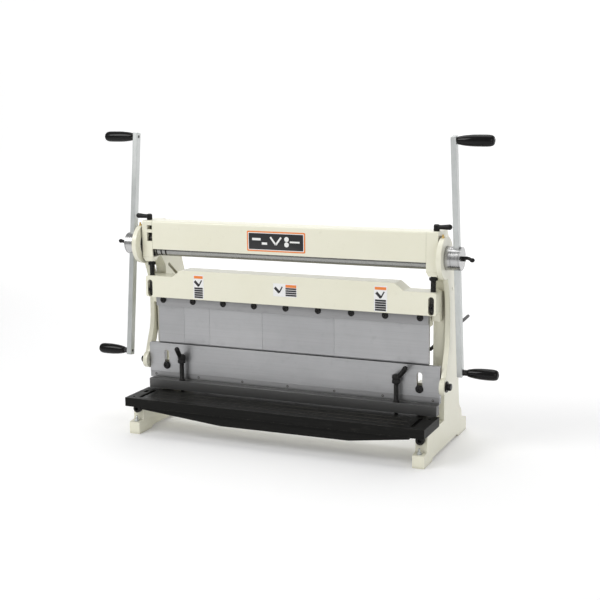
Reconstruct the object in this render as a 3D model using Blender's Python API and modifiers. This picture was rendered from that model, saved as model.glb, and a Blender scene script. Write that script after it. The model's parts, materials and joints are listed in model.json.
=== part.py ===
"""Bench machine that shears, folds and rolls sheet metal: a 1016 mm three-in-one sheet metal brake.

Metres, +Z up, +X along the work, -Y towards the operator. The origin is on the bench, under the
middle of the whole machine. Depths are given from the vertical plane of the roll shaft (SHAFT_Y).
"""
import math

import bmesh
import bpy
from mathutils import Matrix, Vector

# ---- driving dimensions ----
WORK_LENGTH = 1.016          # folding length: the row of fingers
SHAFT_Y = -0.178             # vertical plane of the crank and lower roll
ROLL_Z = 0.639               # height of the lower roll, which is also the crank shaft
THROW = 0.020                # eccentric throw; the ram travels twice this
HUB_Z = ROLL_Z + THROW       # height of the eccentric hubs with the ram at the top
GAP = 0.0003                 # clearance left between touching pieces

FRAME_IN = 0.505             # inner and outer faces of the side frames
FRAME_OUT = 0.545
FRAME_TOP = 0.745
SLIDE_FACE = 0.059           # front edge of the side frames, behind the shaft plane
SEAT_Z = 0.103               # top of the bed and of the frames' front feet

ROLL_RADIUS = 0.0195
ROLL_PITCH = 0.040           # between the two pinching rolls
ROLL_HALF = 0.5035
UPPER_ROLL_Z = ROLL_Z + ROLL_PITCH
REAR_ROLL = (0.044, 0.652)
WIRE_GROOVES = ((-0.495, 0.0022), (-0.476, 0.0028), (-0.458, 0.0035))

HUB_RADIUS = 0.0385
HUB_IN = 0.549
HUB_OUT = 0.617
ROD_IN = 0.549
ROD_OUT = 0.566
PIN = (0.008, 0.233)         # lower pin of the connecting rods

BAR_X = 0.600
BAR_SECTION = (0.018, 0.025)
BAR_HALF = 0.398
BAR_DROP = 0.0045            # how far the bar hangs below the middle of its hub
BAR_TILT = {-1: -0.120, 1: 0.140}
GRIP_INSET = 0.014

RAM_HALF = 0.547
RAM_TOP = 0.300
RAM_BOTTOM = 0.195
RAM_THICK = 0.016
GUIDE_X = 0.477
GUIDE_Z = 0.219

BEAM_FRONT = -0.026
BEAM_HALF = 0.539
BEAM_BOTTOM = 0.472
BEAM_TOP = 0.573
TAB_TOP = 0.548
LOCK_X = 0.522
LOCK_Z = 0.497
JACK = (0.523, -0.006)
FINGER_ENDS = (-0.508, -0.403, -0.301, -0.095, 0.174, 0.508)
FINGER_FRONT = 0.003
FINGER_BACK = 0.013
FINGER_TIP = 0.2965
SCREW_PITCH = 0.120

TABLE_HALF = 0.550
TABLE_TOP = 0.134
TABLE_FRONT = -0.174
TABLE_BACK = -0.0123
CLAMP_X = 0.404              # hold-down screws
CLAMP_Y = -0.022

GAUGE_X = 0.4945
GAUGE_START = (0.062, 0.342)
GAUGE_LENGTH = 0.4685
GAUGE_RISE = 0.0625
FENCE_AT = 0.238             # fence position along the gauge rods
FENCE_LOW = 0.128            # bottom of the fence, just below the level of the table

CREAM = ("cream_enamel", (0.77, 0.75, 0.62), 0.42, 0.0)
STEEL = ("ground_steel", (0.42, 0.42, 0.43), 0.38, 1.0)
BRIGHT = ("turned_steel", (0.62, 0.62, 0.63), 0.25, 1.0)
ZINC = ("zinc_bar", (0.60, 0.63, 0.60), 0.35, 1.0)
BLACK = ("black_oxide", (0.025, 0.025, 0.025), 0.45, 0.3)
TABLE_BLACK = ("table_black", (0.035, 0.034, 0.032), 0.5, 0.2)
PHENOLIC = ("grip_plastic", (0.012, 0.012, 0.013), 0.22, 0.0)
GEAR_STEEL = ("gear_steel", (0.30, 0.30, 0.30), 0.4, 1.0)


# ---- scene and materials ----
def clear_scene():
    for leftover in list(bpy.data.objects):
        bpy.data.objects.remove(leftover, do_unlink=True)


def machine_collection():
    collection = bpy.data.collections.new("sheet_metal_brake")
    bpy.context.scene.collection.children.link(collection)
    return collection


def material(finish):
    name, colour, roughness, metallic = finish
    found = bpy.data.materials.get(name)
    if found:
        return found
    made = bpy.data.materials.new(name)
    made.use_nodes = True
    shader = made.node_tree.nodes["Principled BSDF"]
    shader.inputs["Base Color"].default_value = (*colour, 1.0)
    shader.inputs["Roughness"].default_value = roughness
    shader.inputs["Metallic"].default_value = metallic
    return made


# ---- shapes: every function returns an object whose mesh is in world coordinates ----
def link(name, mesh):
    piece = bpy.data.objects.new(name, mesh)
    MACHINE.objects.link(piece)
    return piece


def from_bmesh(name, shape):
    mesh = bpy.data.meshes.new(name)
    shape.to_mesh(mesh)
    shape.free()
    return link(name, mesh)


def block(name, x, y, z):
    """Box between pairs of limits; y is measured from the shaft plane."""
    low = Vector((x[0], y[0] + SHAFT_Y, z[0]))
    high = Vector((x[1], y[1] + SHAFT_Y, z[1]))
    shape = bmesh.new()
    size = Matrix.Diagonal((*(high - low), 1.0))
    bmesh.ops.create_cube(shape, size=1.0, matrix=Matrix.Translation((low + high) / 2) @ size)
    return from_bmesh(name, shape)


def at(x, y, z):
    """World point from a point whose depth is measured from the shaft plane."""
    return Vector((x, y + SHAFT_Y, z))


def rod(name, start, end, radius, end_radius=None, segments=20):
    """Cylinder or cone from start to end."""
    axis = end - start
    turn = Vector((0, 0, 1)).rotation_difference(axis).to_matrix().to_4x4()
    shape = bmesh.new()
    tip = radius if end_radius is None else end_radius
    bmesh.ops.create_cone(shape, cap_ends=True, segments=segments, radius1=radius, radius2=tip,
                          depth=axis.length, matrix=Matrix.Translation((start + end) / 2) @ turn)
    return from_bmesh(name, shape)


def ball(name, centre, radius, segments=10):
    shape = bmesh.new()
    bmesh.ops.create_uvsphere(shape, u_segments=segments, v_segments=segments // 2, radius=radius,
                              matrix=Matrix.Translation(centre))
    return from_bmesh(name, shape)


def evaluated_copy(piece, name):
    """Turn a curve or a piece with modifiers into a plain welded mesh."""
    graph = bpy.context.evaluated_depsgraph_get()
    mesh = bpy.data.meshes.new_from_object(piece.evaluated_get(graph))
    mesh.transform(piece.matrix_world)
    shape = bmesh.new()
    shape.from_mesh(mesh)
    bmesh.ops.remove_doubles(shape, verts=shape.verts, dist=0.00001)
    shape.to_mesh(mesh)
    shape.free()
    bpy.data.objects.remove(piece, do_unlink=True)
    return link(name, mesh)


def rounded(corners, steps=4):
    """Outline through (a, b, radius) corners, each corner replaced by an arc of its radius."""
    outline = []
    count = len(corners)
    for index, (a, b, radius) in enumerate(corners):
        here = Vector((a, b))
        if radius == 0:
            outline.append(here)
            continue
        before = (Vector(corners[index - 1][:2]) - here).normalized()
        after = (Vector(corners[(index + 1) % count][:2]) - here).normalized()
        half = before.angle(after) / 2
        reach = radius / math.tan(half)
        centre = here + (before + after).normalized() * (radius / math.sin(half))
        first = here + before * reach - centre
        last = here + after * reach - centre
        start = math.atan2(first.y, first.x)
        sweep = (math.atan2(last.y, last.x) - start + math.pi) % (2 * math.pi) - math.pi
        for step in range(steps + 1):
            angle = start + sweep * step / steps
            outline.append(centre + Vector((math.cos(angle), math.sin(angle))) * radius)
    return outline


def plate(name, outline, axis, low, high):
    """Flat outline thickened along an axis. X takes (y, z) points, Y takes (x, z), Z takes (x, y)."""
    curve = bpy.data.curves.new(name, "CURVE")
    curve.dimensions = "2D"
    curve.fill_mode = "BOTH"
    curve.extrude = (high - low) / 2
    spline = curve.splines.new("POLY")
    spline.points.add(len(outline) - 1)
    for point, place in zip(spline.points, outline):
        point.co = (place[0], place[1], 0.0, 1.0)
    spline.use_cyclic_u = True
    middle = (high + low) / 2
    frames = {"X": (Vector((0, 1, 0)), Vector((0, 0, 1)), Vector((1, 0, 0)), at(middle, 0, 0)),
              "Y": (Vector((1, 0, 0)), Vector((0, 0, 1)), Vector((0, -1, 0)), at(0, middle, 0)),
              "Z": (Vector((1, 0, 0)), Vector((0, 1, 0)), Vector((0, 0, 1)), at(0, 0, middle))}
    across, up, through, origin = frames[axis]
    placed = Matrix((across, up, through)).transposed().to_4x4()
    placed.translation = origin
    piece = link(name + "_outline", curve)
    piece.matrix_world = placed
    bpy.context.view_layer.update()
    return evaluated_copy(piece, name)


def turned(name, profile, origin, direction, steps=20):
    """Turned piece: (radius, height) points from the top down, its axis along a direction."""
    mesh = bpy.data.meshes.new(name)
    points = [(radius, 0.0, height) for radius, height in profile]
    mesh.from_pydata(points, [(i, i + 1) for i in range(len(points) - 1)], [])
    piece = link(name + "_profile", mesh)
    screw = piece.modifiers.new("turn", "SCREW")
    screw.steps = steps
    screw.render_steps = steps
    screw.use_merge_vertices = True
    screw.merge_threshold = 0.00001
    turn = Vector((0, 0, 1)).rotation_difference(direction).to_matrix().to_4x4()
    piece.matrix_world = Matrix.Translation(origin) @ turn
    bpy.context.view_layer.update()
    return evaluated_copy(piece, name)


def combine(target, tool, operation):
    change = target.modifiers.new("shape", "BOOLEAN")
    change.operation = operation
    change.object = tool
    name = target.name
    bpy.context.view_layer.update()
    graph = bpy.context.evaluated_depsgraph_get()
    mesh = bpy.data.meshes.new_from_object(target.evaluated_get(graph))
    target.modifiers.remove(change)
    target.data = mesh
    target.name = name
    bpy.data.objects.remove(tool, do_unlink=True)


def cut(target, *tools):
    for tool in tools:
        combine(target, tool, "DIFFERENCE")


def join(target, *tools):
    for tool in tools:
        combine(target, tool, "UNION")


def soften(piece, width, limit=0.6):
    """Chamfer the sharp edges of a piece."""
    bevel = piece.modifiers.new("edge", "BEVEL")
    bevel.width = width
    bevel.segments = 1
    bevel.limit_method = "ANGLE"
    bevel.angle_limit = limit
    bpy.context.view_layer.update()
    graph = bpy.context.evaluated_depsgraph_get()
    piece.data = bpy.data.meshes.new_from_object(piece.evaluated_get(graph))
    piece.modifiers.clear()


def finish(piece, look, pivot=None):
    """Give a piece its material, smooth its round faces and put its origin on its joint's axis."""
    piece.data.materials.clear()
    piece.data.materials.append(material(look))
    piece.data.shade_smooth()
    piece.data.set_sharp_from_angle(angle=0.6)
    if pivot is not None:
        piece.data.transform(Matrix.Translation(-pivot))
        piece.location = pivot
    return piece


def side_name(side, name):
    return ("right_" if side > 0 else "left_") + name


def span(side, near, far):
    """X limits of a piece on one side, from its distances to the middle of the machine."""
    return (near, far) if side > 0 else (-far, -near)


def slot_outline(start, end, radius, steps=6):
    """Slot with round ends between two points."""
    way = Vector(end) - Vector(start)
    facing = math.atan2(way.y, way.x)
    outline = []
    for centre, first in ((end, facing - math.pi / 2), (start, facing + math.pi / 2)):
        for step in range(steps + 1):
            angle = first + math.pi * step / steps
            outline.append((centre[0] + radius * math.cos(angle), centre[1] + radius * math.sin(angle)))
    return outline


# ---- frame ----
def gauge_point(side, along):
    return at(side * GAUGE_X, GAUGE_START[0], GAUGE_START[1]) + GAUGE_WAY * along


def side_frame(side):
    profile = rounded(((-0.158, 0.0, 0), (-0.158, 0.042, 0.004), (-0.127, 0.046, 0.006),
                       (-0.124, SEAT_Z, 0), (SLIDE_FACE, SEAT_Z, 0), (SLIDE_FACE, 0.575, 0.03),
                       (0.030, 0.614, 0), (-0.030, 0.614, 0.004), (-0.030, FRAME_TOP, 0.004),
                       (0.070, FRAME_TOP, 0.020), (0.178, 0.592, 0.05), (0.204, 0.520, 0.08),
                       (0.229, 0.200, 0), (0.240, 0.116, 0.03), (0.272, 0.088, 0.015),
                       (0.276, 0.062, 0.01), (0.334, 0.046, 0.005), (0.336, 0.0, 0),
                       (0.236, 0.0, 0), (0.222, 0.011, 0), (-0.062, 0.011, 0), (-0.076, 0.0, 0)))
    low, high = span(side, FRAME_IN, FRAME_OUT)
    frame = plate(side_name(side, "side_frame"), profile, "X", low, high)
    foot_half = 0.021
    foot_middle = side * (FRAME_IN + FRAME_OUT) / 2
    foot = bmesh.new()
    corner = math.sqrt(2.0)
    bmesh.ops.create_cone(foot, cap_ends=True, segments=4, radius1=0.014 * corner,
                          radius2=foot_half * corner, depth=0.016,
                          matrix=Matrix.Translation(at(foot_middle, -0.009, 0.6075))
                          @ Matrix.Rotation(math.pi / 4, 4, "Z"))
    foot_block = from_bmesh("foot", foot)
    cut(foot_block, block("trim", span(side, FRAME_OUT, 0.6), (-0.1, 0.1), (0.58, 0.63)))
    lug_way = gauge_point(side, 0.1)
    lug = block("lug", span(side, 0.4835, FRAME_OUT - 0.010), (0.150, 0.175),
                (lug_way.z - 0.016, lug_way.z + 0.016))
    join(frame, foot_block)
    journal = rod("journal", at(low - 0.01, 0, ROLL_Z), at(high + 0.01, 0, ROLL_Z), 0.0126)
    window = block("window", (low - 0.01, high + 0.01), (-0.0163, 0.0163), (0.6617, 0.7008))
    rear = block("rear", (low - 0.01, high + 0.01), (REAR_ROLL[0] - 0.0163, REAR_ROLL[0] + 0.0163),
                 (REAR_ROLL[1] - 0.0273, REAR_ROLL[1] + 0.0273))
    slot = plate("slot", slot_outline((0.083, 0.576), (0.138, 0.535), 0.006), "X", low - 0.01,
                 high + 0.01)
    pinch = rod("pinch", at(side * PINCH_X, 0, 0.69), at(side * PINCH_X, 0, 0.78), 0.0053)
    jack = rod("jack", at(side * JACK[0], JACK[1], 0.59), at(side * JACK[0], JACK[1], 0.6125), 0.0103)
    lock = rod("lock", at(side * LOCK_X, 0.05, LOCK_Z), at(side * LOCK_X, 0.085, LOCK_Z), 0.0053)
    seat = rod("seat", at(side * 0.524, -0.15, 0.087), at(side * 0.524, -0.1, 0.087), 0.0063)
    bore = rod("bore", gauge_point(side, 0.05), gauge_point(side, 0.17), 0.0063)
    hollow = rounded(((0.075, 0.130, 0.015), (0.200, 0.130, 0.015), (0.185, 0.300, 0),
                      (0.168, 0.500, 0.015), (0.075, 0.500, 0.015)))
    inner, web = sorted((side * (FRAME_IN - 0.01), side * (FRAME_OUT - 0.016)))
    cut(frame, plate("hollow", hollow, "X", inner, web))
    join(frame, lug)
    cut(frame, journal, window, rear, slot, pinch, jack, lock, seat, bore)
    if side < 0:
        pocket = block("pocket", (-0.526, -0.500), (-0.0240, 0.0240), (0.6170, 0.7065))
        low_window = block("low_window", (-0.5255, -0.500), (-0.04, 0.0), (0.673, 0.703))
        high_window = block("high_window", (-0.5255, -0.500), (-0.04, -0.006), (0.714, 0.729))
        cut(frame, pocket, low_window, high_window)
    return finish(frame, CREAM)


def bed_casting():
    bed = block("bed_casting", (-0.5047, 0.5047), (-0.060, 0.058), (0.085, SEAT_Z - GAP))
    for side in (-1, 1):
        low, high = span(side, GUIDE_X - 0.015, GUIDE_X + 0.015)
        post = block("post", (low, high), (0.017, 0.058), (0.095, 0.236))
        join(bed, post)
        bolt = rod("bolt", at(side * GUIDE_X, 0.01, GUIDE_Z), at(side * GUIDE_X, 0.045, GUIDE_Z), 0.0083)
        screw = rod("screw", at(side * CLAMP_X, CLAMP_Y, 0.05), at(side * CLAMP_X, CLAMP_Y, 0.12), 0.0066)
        cut(bed, bolt, screw)
    return finish(bed, CREAM)


def lower_shear_blade():
    blade = block("lower_shear_blade", (-0.525, 0.525), (-0.012, 0.0), (SEAT_Z, TABLE_TOP - 0.0002))
    return finish(blade, STEEL)


def extension_table():
    table = block("extension_table", (-TABLE_HALF, TABLE_HALF), (TABLE_FRONT, TABLE_BACK),
                  (SEAT_Z, TABLE_TOP))
    hollow = block("hollow", (-0.500, 0.500), (TABLE_FRONT + 0.014, -0.062), (0.09, 0.122))
    cut(table, hollow)
    apron_shape = ((-0.495, 0.094), (-0.180, 0.065), (0.290, 0.067), (0.495, 0.094), (0.495, 0.124),
                   (-0.495, 0.124))
    join(table, plate("apron", apron_shape, "Y", TABLE_FRONT + 0.012, TABLE_FRONT + 0.026))
    for side in (-1, 1):
        low, high = span(side, 0.494, 0.508)
        cut(table, block("groove", (low, high), (-0.150, -0.045), (0.126, 0.14)),
            rod("screw", at(side * CLAMP_X, CLAMP_Y, 0.09), at(side * CLAMP_X, CLAMP_Y, 0.15), 0.0066))
    return finish(table, TABLE_BLACK)


def table_bolt(side):
    place = at(side * 0.524, 0, 0.087)
    way = Vector((0, -1, 0))
    profile = ((0.0, 0.0163), (0.010, 0.0163), (0.0145, 0.0128), (0.0150, 0.0), (0.006, 0.0),
               (0.006, -0.020), (0.0, -0.020))
    bolt = turned(side_name(side, "table_bolt"), profile, place + Vector((0, -0.1262, 0)), way)
    return finish(bolt, BLACK)


def ram_guide_bolt(side):
    profile = ((0.0, 0.0085), (0.0110, 0.0085), (0.0138, 0.0055), (0.0138, 0.0003), (0.008, 0.0003),
               (0.008, -0.042), (0.0, -0.042))
    bolt = turned(side_name(side, "ram_guide_bolt"), profile, at(side * GUIDE_X, -GAP, GUIDE_Z),
                  Vector((0, -1, 0)))
    return finish(bolt, BLACK)


def beam_lock_bolt(side):
    profile = ((0.0, 0.011), (0.0075, 0.011), (0.0085, 0.010), (0.0085, 0.0), (0.005, 0.0),
               (0.005, -0.092), (0.0, -0.092))
    bolt = turned(side_name(side, "beam_lock_bolt"), profile, at(side * LOCK_X, -0.0123, LOCK_Z),
                  Vector((0, -1, 0)))
    return finish(bolt, BLACK)


def roll_cover():
    section = rounded(((-0.030, 0.645, 0), (-0.027, 0.645, 0), (-0.027, 0.742, 0.004),
                       (0.040, 0.742, 0), (0.040, 0.745, 0), (-0.030, 0.745, 0.007)))
    return finish(plate("roll_cover", section, "X", -0.5046, 0.5046), CREAM)


def gauge_rod(side):
    start = gauge_point(side, 0.0)
    rail = rod(side_name(side, "gauge_rod"), start, gauge_point(side, GAUGE_LENGTH), 0.006, segments=16)
    return finish(rail, BLACK)


def gauge_fence():
    middle = gauge_point(1, FENCE_AT)
    outer, inner, top = 0.4875, 0.4700, middle.z + 0.018
    outline = ((-outer, FENCE_LOW), (outer, FENCE_LOW), (outer, top), (inner, top), (inner, FENCE_LOW + 0.032),
               (-inner, FENCE_LOW + 0.032), (-inner, top), (-outer, top))
    fence = plate("gauge_fence", outline, "Y", middle.y - SHAFT_Y - 0.004, middle.y - SHAFT_Y + 0.004)
    for side in (-1, 1):
        join(fence, rod("boss", gauge_point(side, FENCE_AT - 0.014), gauge_point(side, FENCE_AT + 0.014),
                        0.0102))
        cut(fence, rod("bore", gauge_point(side, FENCE_AT - 0.03), gauge_point(side, FENCE_AT + 0.03),
                       0.0064))
    return finish(fence, BLACK, middle)


# ---- rolls and gears ----
def lower_roll():
    journal = 0.012
    profile = [(0.0, 0.588), (journal, 0.588), (journal, ROLL_HALF), (ROLL_RADIUS, ROLL_HALF)]
    for place, half in reversed(WIRE_GROOVES):
        profile += [(ROLL_RADIUS, place + half), (ROLL_RADIUS - half, place), (ROLL_RADIUS, place - half)]
    profile += [(ROLL_RADIUS, -ROLL_HALF), (journal, -ROLL_HALF), (journal, -0.588), (0.0, -0.588)]
    roll = turned("lower_roll", profile, CRANK, Vector((1, 0, 0)), 24)
    return finish(roll, BRIGHT, CRANK)


def plain_roll(name, centre, reach):
    journal = 0.010
    profile = ((0.0, reach), (journal, reach), (journal, ROLL_HALF), (ROLL_RADIUS, ROLL_HALF),
               (ROLL_RADIUS, -ROLL_HALF), (journal, -ROLL_HALF), (journal, -reach), (0.0, -reach))
    return finish(turned(name, profile, centre, Vector((1, 0, 0)), 24), BRIGHT, centre)


def roll_gear(name, centre, bore, phase):
    """Spur gear with sixteen straight-sided teeth."""
    teeth = 16
    outline = []
    for tooth in range(teeth):
        middle = 2 * math.pi * (tooth + phase) / teeth
        for offset, radius in ((-0.62, 0.0176), (-0.20, 0.0214), (0.20, 0.0214), (0.62, 0.0176)):
            angle = middle + offset * math.pi / teeth
            outline.append((centre.y - SHAFT_Y + radius * math.cos(angle),
                            centre.z + radius * math.sin(angle)))
    gear = plate(name, outline, "X", -0.523, -0.508)
    cut(gear, rod("bore", centre + Vector((-0.54, 0, 0)), centre + Vector((-0.49, 0, 0)), bore))
    return finish(gear, GEAR_STEEL, centre)


def bearing_block(name, side, near, far, centre):
    low, high = span(side, near, far)
    y, z = centre
    body = block(name, (low, high), (y - 0.016, y + 0.016), (z - 0.017, z + 0.017))
    cut(body, rod("bore", at(low - 0.01, y, z), at(high + 0.01, y, z), 0.0103))
    return finish(body, GEAR_STEEL, at(0, y, z))


def clamp_handle(name, foot, tip, hub_low, hub_high, radius, tip_radius):
    """Clamping lever: an upright hub with a handle that swells towards its round tip."""
    lever = rod(name, foot + Vector((0, 0, hub_low)), foot + Vector((0, 0, hub_high)), radius, segments=20)
    join(lever, rod("arm", foot + Vector((0, 0, (hub_low + hub_high) / 2)), tip, radius * 0.72, tip_radius,
                    16))
    join(lever, ball("tip", tip, tip_radius * 1.01))
    return lever


def pinch_lever(side):
    foot = at(side * PINCH_X, 0, 0)
    tip = at(side * (PINCH_X + 0.043), -0.002, 0.7590)
    lever = clamp_handle(side_name(side, "pinch_lever"), foot, tip, FRAME_TOP + GAP, 0.767, 0.0100, 0.0094)
    join(lever, rod("screw", at(side * PINCH_X, 0, 0.6963), at(side * PINCH_X, 0, 0.75), 0.005,
                     segments=12))
    return finish(lever, BLACK, at(side * PINCH_X, 0, FRAME_TOP))


# ---- crank ----
def eccentric_hub(side):
    inner, outer = side * HUB_IN, side * HUB_OUT
    hub = rod(side_name(side, "eccentric_hub"), at(inner, 0, HUB_Z), at(outer, 0, HUB_Z), HUB_RADIUS,
              segments=32)
    journal = rod("journal", at(side * 0.54, 0, ROLL_Z), at(side * 0.589, 0, ROLL_Z), 0.0123)
    half_x, half_y = BAR_SECTION[0] / 2 + GAP, BAR_SECTION[1] / 2 + GAP
    socket = block("socket", (side * BAR_X - half_x, side * BAR_X + half_x), (-half_y, half_y),
                   (HUB_Z - 0.06, HUB_Z + 0.06))
    tilt_about(socket, at(0, 0, HUB_Z), BAR_TILT[side])
    screw = rod("screw", at(side * 0.605, 0, HUB_Z), at(side * 0.63, 0, HUB_Z), 0.0053)
    cut(hub, journal, socket, screw)
    return finish(hub, BRIGHT, CRANK)


def tilt_about(piece, centre, angle):
    turn = Matrix.Rotation(angle, 4, "X")
    piece.data.transform(Matrix.Translation(centre) @ turn @ Matrix.Translation(-centre))


def handle_bar(side):
    half_x, half_y = BAR_SECTION[0] / 2, BAR_SECTION[1] / 2
    middle = HUB_Z - BAR_DROP
    bar = block(side_name(side, "handle_bar"), (side * BAR_X - half_x, side * BAR_X + half_x),
                (-half_y, half_y), (middle - BAR_HALF, middle + BAR_HALF))
    soften(bar, 0.0008)
    for end in (-1, 1):
        height = middle + end * (BAR_HALF - GRIP_INSET)
        cut(bar, rod("hole", at(side * 0.57, 0, height), at(side * 0.63, 0, height), 0.0055, segments=12))
    tilt_about(bar, at(0, 0, HUB_Z), BAR_TILT[side])
    return finish(bar, ZINC, at(side * BAR_X, 0, HUB_Z))


def grip_centre(side, end):
    """Where the middle of the bar meets the axis of a grip."""
    reach = -BAR_DROP + end * (BAR_HALF - GRIP_INSET)
    offset = Matrix.Rotation(BAR_TILT[side], 3, "X") @ Vector((0, 0, reach))
    return at(side * BAR_X, 0, HUB_Z) + offset


def grip_names(side, end, name):
    return side_name(side, ("upper_" if end > 0 else "lower_") + name)


def grip_spindle(side, end):
    out = Vector((side, 0, 0))
    start = grip_centre(side, end)
    spindle = rod(grip_names(side, end, "grip_spindle"), start - out * 0.0088, start + out * 0.122, 0.005,
                  segments=12)
    if end < 0:
        join(spindle, rod("nut", start + out * 0.0093, start + out * 0.0243, 0.0105, segments=6))
    return finish(spindle, BLACK, start)


def grip(side, end):
    start = grip_centre(side, end)
    inset = 0.0097 if end > 0 else 0.0247
    length = 0.1277 - inset
    bore = 0.1227 - inset
    profile = [(0.0, length), (0.0060, length), (0.0130, length - 0.002), (0.0170, length - 0.008),
               (0.0187, length - 0.018), (0.0190, length - 0.034), (0.0187, 0.052), (0.0176, 0.036),
               (0.0155, 0.018), (0.0132, 0.006), (0.0112, 0.0), (0.0053, 0.0), (0.0053, bore), (0.0, bore)]
    handle = turned(grip_names(side, end, "grip"), profile, start + Vector((side * inset, 0, 0)),
                    Vector((side, 0, 0)), 20)
    return finish(handle, PHENOLIC, start)


def hub_clamp_lever(side):
    foot = at(side * HUB_OUT, 0, HUB_Z)
    out = Vector((side, 0, 0))
    lever = rod(side_name(side, "hub_clamp_lever"), foot + out * GAP, foot + out * 0.010, 0.008, segments=20)
    bend = foot + Vector((side * 0.017, -0.006, 0.003))
    tip = foot + Vector((side * 0.036, -0.014, -0.003))
    join(lever, rod("screw", foot - out * 0.0075, foot + out * 0.004, 0.005, segments=16))
    join(lever, rod("root", foot + out * 0.005, bend, 0.0060, 0.0054, 12))
    join(lever, ball("elbow", bend, 0.0059, 12), rod("arm", bend, tip, 0.0054, 0.0058, 12))
    join(lever, ball("tip", tip, 0.0076, 12))
    return finish(lever, BLACK, foot)


# ---- connecting rods and ram ----
def rod_centreline():
    """Points of the bowed shank, from the lower pin up to the eccentric."""
    return ((PIN[0], PIN[1]), (0.030, 0.290), (0.052, 0.345), (0.060, 0.400), (0.060, 0.470),
            (0.050, 0.540), (0.026, 0.600), (0.0, HUB_Z))


def smooth_path(points, steps=3):
    """Catmull-Rom curve through the points."""
    whole = [points[0], *points, points[-1]]
    path = []
    for index in range(1, len(whole) - 2):
        a, b, c, d = (Vector(whole[index + k]) for k in (-1, 0, 1, 2))
        for step in range(steps):
            t = step / steps
            path.append(0.5 * (2 * b + (c - a) * t + (2 * a - 5 * b + 4 * c - d) * t * t
                               + (3 * b - a - 3 * c + d) * t ** 3))
    path.append(Vector(points[-1]))
    return path


def ribbon(path, width):
    """Outline of a strip of constant width along a path."""
    left, right = [], []
    for index, point in enumerate(path):
        way = path[min(index + 1, len(path) - 1)] - path[max(index - 1, 0)]
        side = Vector((-way.y, way.x)).normalized() * width / 2
        left.append(point + side)
        right.append(point - side)
    return left + right[::-1]


def connecting_rod(side):
    low, high = span(side, ROD_IN, ROD_OUT)
    body = plate(side_name(side, "connecting_rod"), ribbon(smooth_path(rod_centreline()), 0.034), "X", low,
                 high)
    join(body, rod("big_end", at(low, 0, HUB_Z), at(high, 0, HUB_Z), 0.070, segments=36),
         rod("small_end", at(low, *PIN), at(high, *PIN), 0.030, segments=24))
    cut(body, rod("bore", at(low - 0.01, 0, HUB_Z), at(high + 0.01, 0, HUB_Z), HUB_RADIUS + GAP,
                  segments=32), rod("pin_bore", at(low - 0.01, *PIN), at(high + 0.01, *PIN), 0.0083))
    return finish(body, CREAM, at(side * ROD_IN, 0, HUB_Z))


def ram_pin(side):
    out = Vector((side, 0, 0))
    start = at(side * (RAM_HALF + 0.0005), *PIN)
    pin = rod(side_name(side, "ram_pin"), start, start + out * 0.030, 0.008)
    join(pin, rod("washer", start + out * 0.0188, start + out * 0.0228, 0.0185, segments=28),
         rod("head", start + out * 0.0226, start + out * 0.0362, 0.0125, segments=6))
    return finish(pin, BLACK, start)


def ram_plate():
    back = RAM_THICK
    groove = 0.006
    middle = (FINGER_FRONT + FINGER_BACK) / 2
    section = ((0.0, RAM_BOTTOM), (0.009, RAM_BOTTOM), (0.009, 0.1745), (back, 0.1745), (back, RAM_TOP),
               (middle + groove, RAM_TOP), (middle, RAM_TOP - groove), (middle - groove, RAM_TOP),
               (0.0, RAM_TOP))
    ram = plate("ram_plate", section, "X", -RAM_HALF, RAM_HALF)
    for side in (-1, 1):
        slot = slot_outline((side * GUIDE_X, 0.2195), (side * GUIDE_X, 0.2660), 0.0095)
        cut(ram, plate("slot", slot, "Y", -0.01, 0.03))
    return finish(ram, STEEL)


def upper_shear_blade():
    blade = block("upper_shear_blade", (-0.546, 0.546), (GAP, 0.0087), (0.172, RAM_BOTTOM - GAP))
    return finish(blade, STEEL)


# ---- finger beam ----
def finger_beam():
    half = ((BEAM_HALF, BEAM_BOTTOM, 0.006), (BEAM_HALF, TAB_TOP, 0.008), (0.430, TAB_TOP, 0.014),
            (0.398, BEAM_TOP, 0.014))
    mirrored = tuple((-x, z, radius) for x, z, radius in reversed(half))
    beam = plate("finger_beam", rounded(half + mirrored), "Y", BEAM_FRONT, 0.045)
    for side in (-1, 1):
        cut(beam, block("pocket", span(side, 0.010, 0.396), (-0.006, 0.06), (0.487, 0.560)))
    join(beam, block("tongue", (-0.508, 0.508), (FINGER_BACK + GAP, 0.044), (0.428, BEAM_BOTTOM + 0.01)))
    for side in (-1, 1):
        join(beam, block("cheek", span(side, 0.512, BEAM_HALF - 0.001), (0.020, SLIDE_FACE - GAP),
                         (0.446, TAB_TOP - 0.006)))
        cut(beam, plate("slot", slot_outline((side * LOCK_X, 0.483), (side * LOCK_X, 0.524), 0.0098), "Y",
                        -0.05, -0.012),
            plate("deep_slot", slot_outline((side * LOCK_X, 0.484), (side * LOCK_X, 0.523), 0.0056), "Y",
                  -0.02, 0.08),
            rod("jack", at(side * JACK[0], JACK[1], 0.5355), at(side * JACK[0], JACK[1], 0.57), 0.0098))
    return finish(beam, CREAM)


def finger_clamp_strip():
    strip = block("finger_clamp_strip", (-0.508, 0.508), (-0.009, FINGER_FRONT - GAP), (0.438, 0.4705))
    for index in range(9):
        across = (index - 4) * SCREW_PITCH
        join(strip, rod("screw", at(across, -0.016, 0.460), at(across, -0.005, 0.460), 0.0062, segments=12))
    return finish(strip, STEEL)


def brake_finger(number):
    left, right = FINGER_ENDS[number - 1], FINGER_ENDS[number]
    middle = (FINGER_FRONT + FINGER_BACK) / 2
    section = ((middle - 0.0008, FINGER_TIP), (middle + 0.0008, FINGER_TIP), (FINGER_BACK, FINGER_TIP + 0.010),
               (FINGER_BACK, 0.4705), (FINGER_FRONT, 0.4705), (FINGER_FRONT, FINGER_TIP + 0.010))
    finger = plate("brake_finger_%d" % number, section, "X", left + GAP / 2, right - GAP / 2)
    return finish(finger, STEEL)


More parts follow.
